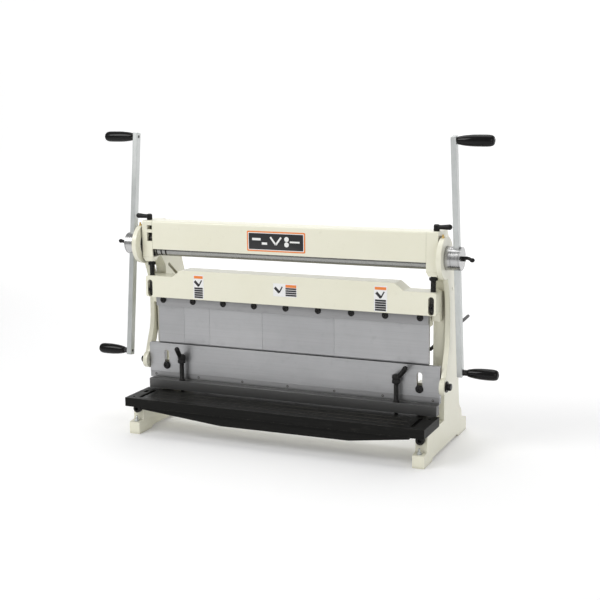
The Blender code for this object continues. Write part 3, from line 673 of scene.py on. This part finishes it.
# ---- castings and plates ----
def castings():
    """Painted castings with broken edges; the finger beam also has its front top edge rounded."""
    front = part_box("finger_beam")[0].y

    def crown(x, y, z):
        return abs(y - front) < 0.0005 and z > 0.545

    machined("finger_beam", width=0.0022, more=round_where(crown, 0.009, 5))
    for side, _ in SIDES:
        machined(side + "_side_frame", width=0.0022)
        machined(side + "_connecting_rod", width=0.0026, segments=3)
        machined(side + "_eccentric_hub", width=0.0009)
        machined(side + "_handle_bar", width=0.0004, segments=1)
    machined("bed_casting", width=0.002)
    machined("roll_cover", width=0.0006)


def plates():
    """Ground plates; each brake finger has a tone of its own."""
    tones = ((0.430, 0.432, 0.440), (0.455, 0.457, 0.466), (0.470, 0.472, 0.480), (0.445, 0.447, 0.456),
             (0.462, 0.464, 0.472))
    for number, tone in enumerate(tones, 1):
        finger = "brake_finger_%d" % number
        machined(finger, ground_steel("ground finger %d" % number, tone, number * 1.7), width=0.0005)
    machined("ram_plate", width=0.0006)
    machined("upper_shear_blade", DARK_STRIP, width=0.0004)
    machined("lower_shear_blade", width=0.0003)
    machined("hold_down_bar", HOLD_DOWN_STEEL, width=0.0009)
    machined("gauge_fence", width=0.0008)


def clamp_strip():
    """The strip that clamps the fingers, and its nine socket screws."""
    low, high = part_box("finger_clamp_strip")
    outline = oblong(0.0, (low.z + high.z) / 2, high.x, (high.z - low.z) / 2, 0.0008, 2)
    stands_for("finger_clamp_strip", "finger_beam", front_plate(outline, high.y - SHAFT_Y, 0.0115, 0.0006),
               look=DARK_STRIP, slot="ground_steel")
    washer = [(0.0, 0.0), (0.0114, 0.0), (0.0114, 0.0012), (0.0108, 0.0016), (0.0, 0.0016)]
    for index in range(9):
        x, z = (index - 4) * SCREW_PITCH, 0.460
        placed("finger_clamp_screw_%d" % (index + 1),
               *several(turned_grid(washer, (x, high.y - 0.0112, z), FORWARD, 40),
                        socket_screw_grid((x, high.y - 0.0127, z), FORWARD, 0.0084, 0.0055)), "finger_beam")


def table():
    """Ribbed table: long shallow grooves, an oblong slot and a round hole at the left end, and a round hole
    at the right end.
    """
    piece = machined("extension_table", width=0.0008)
    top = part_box("extension_table")[1].z

    def recess(outline, depth):
        return slab_grid(outline, (1, 0, 0), (0, 1, 0), UP, (0, SHAFT_Y, top - depth), 0.02, 0.0003)

    grooves = [recess(oblong(-0.004, y, 0.474, 0.0016, 0.0014, 4), 0.0013) for y in TABLE_GROOVES]
    carve(piece, grooves + [recess(oblong(-0.524, -0.070, 0.008, 0.015, 0.0075), 0.010),
                            recess(oblong(0.527, -0.046, 0.0055, 0.0055, 0.0054), 0.010),
                            recess(oblong(-0.527, -0.150, 0.0045, 0.0045, 0.0044), 0.010)])


# ---- rolls, gears, blocks ----
def rolls():
    """Rolls with journals and chamfered ends; the lower one has half-round wire grooves."""
    low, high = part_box("lower_roll")
    radius, chamfer = (high.z - low.z) / 2, 0.001
    share = np.linspace(-1.0, 1.0, 9)
    grooves = [(radius - width * math.sqrt(max(0.0, 1 - s * s)), place - width * s)
               for place, width in WIRE_GROOVES for s in share]
    for node, body, journal, cuts, look in (("lower_roll", "crank", 0.0120, grooves, ROLL_STEEL),
                                            ("upper_roll", "upper_roll", 0.010, [], PLAIN_ROLL_STEEL),
                                            ("rear_roll", "rear_roll", 0.010, [], PLAIN_ROLL_STEEL)):
        low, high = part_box(node)
        profile = [(0.0, high.x), (journal, high.x), (journal, ROLL_HALF), (radius - chamfer, ROLL_HALF),
                   (radius, ROLL_HALF - chamfer), *cuts, (radius, chamfer - ROLL_HALF),
                   (radius - chamfer, -ROLL_HALF), (journal, -ROLL_HALF), (journal, low.x), (0.0, low.x)]
        axis = (0.0, SHAFT_Y, ROLL_Z) if node == "lower_roll" else (0.0, *middle(node)[1:])
        stands_for(node, body, turned_grid(profile, axis, (1, 0, 0), 80), look=look, slot="turned_steel")
    # Gears and bearing blocks take the dark gear steel, whose tone is painted shade inside the frame
    # windows.
    for node in ("lower_roll_gear", "upper_roll_gear", "left_upper_bearing", "right_upper_bearing",
                 "left_rear_bearing", "right_rear_bearing"):
        frame["nodes"][node].data.materials.clear()
        frame["nodes"][node].data.materials.append(LOOKS["gear_steel"])


# ---- handles ----
def grips():
    """Waisted handles that swell towards a rounded outer end, on spindles with a nut and a washer."""
    for side, sign in SIDES:
        for end in ("upper", "lower"):
            name = side + "_" + end
            low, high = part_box(name + "_grip")
            centre = middle(name + "_grip")
            inner = np.array((low.x if sign > 0 else high.x, centre[1], centre[2]))
            out = np.array((sign, 0.0, 0.0))
            length = high.x - low.x
            bore = length - 0.005
            closed = [(0.0, bore), (0.0053, bore), (0.0053, 0.0), (0.0106, 0.0), (0.0112, 0.0006),
                      (0.0126, 0.0040), (0.0133, 0.0070), (0.0144, 0.012), (0.0155, 0.018), (0.0167, 0.027),
                      (0.0176, 0.036), (0.0183, 0.045), (0.0187, 0.054), (0.0189, length - 0.036),
                      (0.0188, length - 0.024), (0.0184, length - 0.016), (0.0175, length - 0.0105),
                      (0.0158, length - 0.0058), (0.0135, length - 0.0028), (0.0105, length - 0.0010),
                      (0.0065, length - 0.0002), (0.0055, length - 0.0010), (0.0048, length - 0.0030),
                      (0.0, length - 0.0030)]
            stands_for(name + "_grip", name + "_grip", turned_grid(closed, inner, out, 56),
                       look="grip_plastic", sharp=0.9)
            start = np.array((sign * 0.600, centre[1], centre[2]))
            grids = [turned_grid([(0.0, -0.0088), (0.0046, -0.0088), (0.005, -0.0080), (0.005, 0.1218),
                                  (0.0, 0.1218)], start, out, 24)]
            if end == "lower":
                grids += [pin_grid(0.0104, 0.0092, 0.0104, start, out, 40),
                          hex_grid(start + out * 0.0105, out, 0.0089, 0.0135)]
            stands_for(name + "_grip_spindle", side + "_bar", *grids)


def ball_handle(foot, tip, root_radius, tip_radius, bend=0.004):
    """Handle that leaves a hub, sags a little and swells into its round tip."""
    foot, tip = np.asarray(foot, float), np.asarray(tip, float)
    share = np.linspace(0.0, 1.0, 18)
    path = foot + (tip - foot) * share[:, None] + np.array((0, 0, -bend)) * np.sin(share * math.pi)[:, None]
    radii = root_radius + (tip_radius - root_radius) * share ** 1.6
    return tube_grid(path, radii, 24)


def clamping_levers():
    """Roll pinch, hold-down and hub clamp levers, each a turned hub with a handle."""
    for side, sign in SIDES:
        node = side + "_pinch_lever"
        foot = at(sign * PINCH_X, 0.0, 0.0)
        tip = at(sign * (PINCH_X + 0.0430), -0.002, 0.7589)
        hub = rounded_profile([(0.0, 0.7453, 0), (0.0092, 0.7453, 0), (0.0100, 0.7480, 0.0015),
                               (0.0100, 0.7620, 0.003), (0.0090, 0.7655, 0.002), (0.0055, 0.7669, 0.0012),
                               (0.0, 0.7670, 0)])
        screw = [(0.0, 0.6963), (0.0048, 0.6963), (0.0050, 0.698), (0.0050, 0.7455), (0.0, 0.7455)]
        stands_for(node, side + "_pinch", turned_grid(hub, foot, UP, 40),
                   turned_grid(screw, foot, UP, 20),
                   ball_handle(foot + (sign * 0.003, 0, 0.7572), tip, 0.0070, 0.0092, 0.0))

        node = side + "_hold_down_lever"
        foot = at(sign * STUD_X, -0.022, 0.0)
        tip = foot + ((0.034, -0.010, 0.292) if sign > 0 else (-0.003, -0.026, 0.292))
        hub = rounded_profile([(0.0, 0.2379, 0), (0.0130, 0.2379, 0), (0.0144, 0.2400, 0.001),
                               (0.0144, 0.2480, 0.003), (0.0122, 0.2515, 0.002), (0.0144, 0.2550, 0.002),
                               (0.0144, 0.2650, 0.004), (0.0070, 0.2694, 0.002), (0.0, 0.2699, 0)])
        stands_for(node, side + "_hold_lever", turned_grid(hub, foot, UP, 44),
                   ball_handle(foot + (0, 0, 0.2550), tip, 0.0080, 0.0090))

        node = side + "_hub_clamp_lever"
        foot = at(sign * 0.617, 0.0, HUB_Z)
        out = np.array((sign, 0.0, 0.0))
        bend = foot + (sign * 0.017, -0.006, 0.004)
        tip = foot + ((0.036, -0.014, -0.001) if sign > 0 else (-0.033, -0.006, 0.006))
        path = curve_through([foot + out * 0.005, bend, tip], 22)
        hub = [(0.0, 0.0003), (0.0076, 0.0003), (0.0082, 0.0012), (0.0082, 0.0085), (0.0070, 0.0100),
               (0.0, 0.0102)]
        screw = [(0.0, -0.0075), (0.0046, -0.0075), (0.0050, -0.0068), (0.0050, 0.002), (0.0, 0.002)]
        ball = np.stack((tip - (0.002 * sign, 0, 0), tip + (0.0004 * sign, 0, 0)))
        stands_for(node, side + "_hub_clamp", turned_grid(hub, foot, out, 36),
                   turned_grid(screw, foot, out, 20), tube_grid(path, np.linspace(0.0058, 0.0054, 22), 20),
                   tube_grid(ball, (0.0071, 0.0071), 24))


# ---- screws, bolts, studs ----
def fasteners():
    """Ram pins, jack screws, studs, bolts and gauge rods, in place of their plain nodes."""
    for side, sign in SIDES:
        out = np.array((sign, 0.0, 0.0))
        node = side + "_ram_pin"
        start = np.array((sign * 0.5475, *middle(node)[1:]))
        pin = [(0.0, 0.0), (0.0076, 0.0), (0.008, 0.0005), (0.008, 0.0200), (0.0, 0.0200)]
        washer = [(0.0, 0.0188), (0.0180, 0.0188), (0.0185, 0.0193), (0.0185, 0.0222), (0.0176, 0.0229),
                  (0.0, 0.0229)]
        stands_for(node, side + "_rod", turned_grid(pin, start, out, 32),
                   turned_grid(washer, start, out, 48), hex_grid(start + out * 0.0229, out, 0.0107, 0.0130))

        node = side + "_jack_screw"
        x, y, _ = middle(node)
        stands_for(node, side + "_jack",
                   thread_grid((x, y, 0.5442), UP, 0.0092, 0.0412, 0.0020, 0.0010),
                   hex_grid((x, y, 0.5850), UP, 0.0130, 0.0100),
                   pin_grid(0.0088, 0.5945, 0.6065, (x, y, 0), UP, 32))

        node = side + "_hold_down_stud"
        x, y, _ = middle(node)
        collar = [(0.0, 0.1743), (0.0115, 0.1743), (0.0115, 0.1765), (0.0088, 0.1772), (0.0088, 0.1800),
                  (0.0, 0.1800)]
        stands_for(node, side + "_stud",
                   thread_grid((x, y, 0.1790), UP, 0.0087, 0.0582, 0.0030, 0.0012),
                   turned_grid(collar, (x, y, 0), UP, 36),
                   pin_grid(0.0060, 0.084, 0.1750, (x, y, 0), UP, 28))

        node = side + "_table_bolt"
        low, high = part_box(node)
        x, _, z = middle(node)
        stands_for(node, "frame",
                   socket_screw_grid((x, low.y + 0.0163, z), FORWARD, 0.0148, 0.0160, 0.0022),
                   pin_grid(0.006, 0.0, 0.0203, (x, high.y, z), FORWARD))

        node = side + "_ram_guide_bolt"
        low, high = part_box(node)
        x, _, z = middle(node)
        washer = [(0.0, 0.0), (0.0137, 0.0), (0.0137, 0.0018), (0.0130, 0.0022), (0.0, 0.0022)]
        stands_for(node, "frame", turned_grid(washer, (x, low.y + 0.0082, z), FORWARD, 44),
                   socket_screw_grid((x, low.y + 0.0062, z), FORWARD, 0.0106, 0.0062),
                   pin_grid(0.0080, 0.0, high.y - low.y - 0.0072, (x, high.y, z), FORWARD, 28))

        node = side + "_beam_lock_bolt"
        low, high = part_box(node)
        x, _, z = middle(node)
        stands_for(node, "frame",
                   socket_screw_grid((x, low.y + 0.0110, z), FORWARD, 0.0085, 0.0110),
                   pin_grid(0.0050, 0.0, 0.0921, (x, high.y, z), FORWARD))
        # Painted shade: a thin dark capsule on the beam face round each lock bolt stands for the slot's
        # dark inside.
        angle = np.linspace(0.0, math.pi, 13)
        capsule = [(x + 0.0095 * math.cos(a), 0.524 + 0.0095 * math.sin(a)) for a in angle]
        capsule += [(x - 0.0095 * math.cos(a), 0.483 - 0.0095 * math.sin(a)) for a in angle]
        placed(side + "_lock_slot_shade_plate", *front_plate(capsule, -0.0121, 0.0001, 0.00003), "finger_beam")

        node = side + "_gauge_rod"
        low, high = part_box(node)
        radius = (high.x - low.x) / 2
        way = Vector((0.0, high.y - low.y, high.z - low.z - 2 * radius)).normalized()
        start = np.array(((low.x + high.x) / 2, low.y + radius * way.z, low.z + radius * way.y))
        length = (high.y - low.y - 2 * radius * way.z) / way.y
        profile = [(0.0, 0.0), (radius - 0.001, 0.0), (radius, 0.001), (radius, length - 0.004),
                   (radius * 0.93, length - 0.002), (radius * 0.70, length - 0.0006), (0.0, length)]
        stands_for(node, "frame", turned_grid(profile, start, way, 36), sharp=0.9)


def small_hardware():
    """Hardware that no node stands for: blade screws, oil nipples, foot bolts and gauge knobs."""
    for number in range(7):
        place = ((number - 3) * BLADE_SCREW_PITCH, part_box("upper_shear_blade")[0].y + 0.001, 0.184)
        placed("shear_blade_screw_%d" % (number + 1),
               *socket_screw_grid(place, FORWARD, 0.0044, 0.0018, 0.0004), "ram", "gear_steel")
    for side, sign in SIDES:
        low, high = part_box(side + "_connecting_rod")
        lean = np.array((0.0, -0.26, 0.966))
        start = at((low.x + high.x) / 2, 0.0, HUB_Z) + lean * 0.0692
        profile = rounded_profile([(0.0, 0.0, 0), (0.0046, 0.0, 0), (0.0046, 0.0040, 0.0006),
                                   (0.0030, 0.0048, 0), (0.0030, 0.0070, 0), (0.0038, 0.0084, 0.0005),
                                   (0.0038, 0.0098, 0.0008), (0.0018, 0.0116, 0.0006), (0.0, 0.0118, 0)])
        placed(side + "_oil_nipple", *turned_grid(profile, start, lean, 28), side + "_rod", BRASS)
        foot = at(sign * 0.524, -0.142, 0.0425)
        placed(side + "_foot_bolt", *several(
            pin_grid(0.0095, 0.0, 0.0016, foot, UP, 32),
            hex_grid(foot + (0, 0, 0.0016), UP, 0.0065, 0.0062),
            thread_grid(foot + (0, 0, 0.0070), UP, 0.0040, 0.0120, 0.0013, 0.0006)), "frame", "zinc_bar")
        fence_y = middle("gauge_fence")[1]
        low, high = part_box(side + "_gauge_rod")
        share = (fence_y - low.y) / (high.y - low.y)
        rod_z = low.z + 0.006 + share * (high.z - low.z - 0.012)
        knob_foot = np.array((sign * 0.4945, fence_y, rod_z + 0.0085))
        knob = [(0.0, 0.0), (0.0030, 0.0), (0.0030, 0.0060), (0.0085, 0.0064), (0.0092, 0.0075),
                (0.0092, 0.0150), (0.0080, 0.0165), (0.0, 0.0168)]

        def knurled(angle, reach, level):
            return np.where(reach > 0.009, reach - 0.0004 * (1 + np.cos(angle * 28)), reach)

        placed(side + "_gauge_knob", *turned_grid(knob, knob_foot, UP, 112, knurled), "gauge_fence")


# ---- plates and pictograms ----
def pictogram(name, shapes, y, body, look, lift):
    """Thin printed shapes standing lift in front of a plate."""
    prints = [front_plate(shape, y - lift, 0.00018, 0.00004) for shape in shapes]
    placed(name, *several(*prints), body, look)


def bar(x0, x1, z0, z1):
    """Corners of an upright rectangle."""
    return [(x0, z0), (x1, z0), (x1, z1), (x0, z1)]


def stroke(x0, z0, x1, z1, width):
    """Straight stroke of a width between two points."""
    way = np.array((x1 - x0, z1 - z0))
    side = np.array((-way[1], way[0])) / np.linalg.norm(way) * width / 2
    return [(x0 + side[0], z0 + side[1]), (x0 - side[0], z0 - side[1]), (x1 - side[0], z1 - side[1]),
            (x1 + side[0], z1 + side[1])]


def disc(x, z, radius):
    """Points round a circle."""
    angle = np.arange(24) * TURN / 24
    return list(zip(x + radius * np.cos(angle), z + radius * np.sin(angle)))


def window_shade_plate():
    """Dark plate of painted shade that closes the upper window of the left frame behind its opening."""
    x0, x1 = -0.5253, -0.5052
    outline = [(x0, 0.7142), (x1 - 0.0002, 0.7142), (x1 - 0.0002, 0.7288), (x0, 0.7288)]
    placed("left_window_lining", *front_plate(outline, -0.0062, 0.0008, 0.0002), "frame")


def cover_plate():
    """Plain three-colour plate on the roll cover with pictograms of shearing, folding and rolling."""
    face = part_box("roll_cover")[0].y - SHAFT_Y
    x, z = -0.023, 0.690
    placed("cover_plate_border", *front_plate(oblong(x, z, 0.108, 0.0345, 0.004), face, 0.0006, 0.0002),
           "frame", ORANGE)
    pictogram("cover_plate_line", [oblong(x, z, 0.1035, 0.0300, 0.003)], face, "frame", WHITE, 0.0006)
    pictogram("cover_plate_field", [oblong(x, z, 0.1010, 0.0275, 0.002)], face, "frame", INK, 0.00078)
    marks = [bar(x - 0.088, x - 0.056, z + 0.003, z + 0.011),
             bar(x - 0.052, x - 0.032, z - 0.011, z - 0.003),
             stroke(x - 0.020, z + 0.016, x, z - 0.010, 0.0065),
             stroke(x, z - 0.010, x + 0.020, z + 0.016, 0.0065),
             disc(x + 0.040, z - 0.008, 0.0085), disc(x + 0.040, z + 0.010, 0.0085),
             bar(x + 0.052, x + 0.088, z - 0.0015, z + 0.0040)]
    pictogram("cover_plate_marks", marks, face, "frame", WHITE, 0.00096)


def notice(name, x0, x1, z0, z1, upright):
    """Small generic notice: orange strip, white field, a folded-sheet mark and ruled lines."""
    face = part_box("finger_beam")[0].y - SHAFT_Y
    mid_x, mid_z = (x0 + x1) / 2, (z0 + z1) / 2
    wide, tall = x1 - x0, z1 - z0
    film = oblong(mid_x, mid_z, wide / 2, tall / 2, 0.0015)
    placed(name + "_film", *front_plate(film, face, 0.0004, 0.0001), "finger_beam", WHITE)
    if upright:
        strip = bar(x0 + 0.003, x1 - 0.003, z1 - 0.0135, z1 - 0.004)
        cx, cz = mid_x, z0 + 0.64 * tall
        left, right, bottom, pitch, count = x0 + 0.004, x1 - 0.004, z0 + 0.0025, 0.0078, 5
    else:
        strip = bar(mid_x + 0.002, x1 - 0.002, z1 - 0.0125, z1 - 0.003)
        cx, cz = x0 + 0.24 * wide, mid_z
        left, right, bottom, pitch, count = mid_x + 0.002, x1 - 0.002, z0 + 0.003, 0.0075, 4
    lines = [bar(left, right, bottom + k * pitch, z0 + 0.0088 + k * pitch) for k in range(count)]
    mark = [stroke(cx - 0.015, cz + 0.008, cx + 0.002, cz - 0.009, 0.0095),
            stroke(cx + 0.001, cz - 0.009, cx + 0.013, cz + 0.012, 0.0045)]
    pictogram(name + "_strip", [strip], face, "finger_beam", ORANGE, 0.0004)
    pictogram(name + "_print", mark + lines, face, "finger_beam", INK, 0.0004)


# ---- set ----
def studio():
    """Pale floor that curves up into a back wall and glows as painted light, dim near the machine and
    brighter further back; soft lamps and the camera.
    """
    white = Look("studio white", Emission_Strength=1.0)
    tone = white.noise(0.7, 2.0)
    far = white.spread(white.along("Y"), 0.2, 3.4)
    # Painted light: the floor glows weakly under the machine and more strongly towards the back wall.
    white.feed(white.shader.inputs["Emission Color"],
               white.blend((0.10, 0.10, 0.105), (0.46, 0.46, 0.46), far))
    white.paint(white.blend((0.93, 0.93, 0.93), (0.95, 0.95, 0.95), tone), 0.9)
    along = np.linspace(-7.0, 7.0, 3)
    share = np.linspace(0.0, 1.0, 14)
    depth = np.concatenate(([-7.0, 3.0], 3.0 + 2.0 * np.sin(share * math.pi / 2), [5.0]))
    height = np.concatenate(([0.0, 0.0], 2.0 * (1 - np.cos(share * math.pi / 2)), [6.0]))
    points = np.stack(np.broadcast_arrays(along[None, :], depth[:, None], height[:, None]), axis=-1)
    mesh = bpy.data.meshes.new("studio_floor")
    mesh.from_pydata(points.reshape(-1, 3), [], grid_faces(len(depth), 3, False))
    mesh.materials.append(white.material)
    mesh.shade_smooth()
    linked("studio_floor", mesh)

    world = bpy.data.worlds.new("studio")
    world.use_nodes = True
    light = world.node_tree.nodes["Background"]
    light.inputs["Color"].default_value = (1.0, 1.0, 1.0, 1.0)
    light.inputs["Strength"].default_value = 0.38
    bpy.context.scene.world = world
    for name, place, size, power, tint in (
            ("key", (-1.9, -2.8, 3.0), 2.0, 68.0, (1.0, 1.0, 0.99)),
            ("fill", (2.8, -2.4, 1.6), 2.0, 20.0, (1.0, 1.0, 1.0)),
            ("top", (0.0, 0.4, 3.4), 2.6, 42.0, (1.0, 1.0, 1.0))):
        lamp = bpy.data.lights.new(name, "AREA")
        lamp.size = size
        lamp.energy = power
        lamp.color = tint
        holder = linked(name, lamp)
        holder.location = place
        aim = Vector((0.0, SHAFT_Y, 0.45)) - Vector(place)
        holder.rotation_euler = aim.to_track_quat("-Z", "Y").to_euler()

    lens = bpy.data.cameras.new("camera")
    lens.lens = 69.44
    lens.sensor_width = 36.0
    camera = linked("camera", lens)
    yaw, pitch, roll = (math.radians(angle) for angle in (23.67, 10.13, -0.58))
    forward = Vector((-math.sin(yaw) * math.cos(pitch), math.cos(yaw) * math.cos(pitch), -math.sin(pitch)))
    level = Vector((math.cos(yaw), math.sin(yaw), 0.0))
    upright = level.cross(forward)
    right = level * math.cos(roll) + upright * math.sin(roll)
    up = upright * math.cos(roll) - level * math.sin(roll)
    turn = Matrix((right, up, -forward)).transposed().to_4x4()
    turn.translation = Vector(at(1.606, -3.548, 1.183))
    camera.matrix_world = turn
    bpy.context.scene.camera = camera
    bpy.context.scene.view_settings.view_transform = "Standard"


castings()
plates()
clamp_strip()
table()
rolls()
grips()
clamping_levers()
fasteners()
small_hardware()
window_shade_plate()
cover_plate()
notice("left_notice", -0.346, -0.305, 0.476, 0.561, True)
notice("middle_notice", -0.037, 0.051, 0.503, 0.548, False)
notice("right_notice", 0.327, 0.373, 0.475, 0.561, True)
studio()
